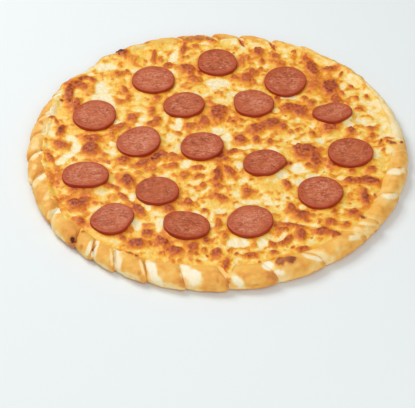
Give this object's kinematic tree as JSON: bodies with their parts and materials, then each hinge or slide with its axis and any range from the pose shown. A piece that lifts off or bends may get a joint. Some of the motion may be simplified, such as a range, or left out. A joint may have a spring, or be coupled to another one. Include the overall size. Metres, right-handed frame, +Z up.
{
  "type": "whole sausage pizza",
  "caption": "Whole round pizza with a folded, pleated crust rim, a browned melted cheese top and round sausage slices.",
  "frame": {"origin": "on the table, under the middle of the box round the pizza", "axes": "+Z up, -Y towards the side nearest the camera, +X to the right in the picture"},
  "size_m": [0.3194, 0.3224, 0.0162],
  "materials": {
    "crust": "baked dough, golden on the pleats and pale in the folds",
    "cheese": "melted cheese, cream and yellow with brown blisters, slightly oily",
    "sausage": "cured sausage, fine grained, with a thin oily sheen"
  },
  "bodies": {
    "root": {"crust": "crust", "cheese": "cheese", "sausage_01": "sausage", "sausage_02": "sausage", "sausage_03": "sausage", "sausage_04": "sausage", "sausage_05": "sausage", "sausage_06": "sausage", "sausage_07": "sausage", "sausage_08": "sausage", "sausage_09": "sausage", "sausage_10": "sausage", "sausage_11": "sausage", "sausage_12": "sausage", "sausage_13": "sausage", "sausage_14": "sausage", "sausage_15": "sausage", "sausage_16": "sausage", "sausage_17": "sausage"}
  },
  "joints": []
}
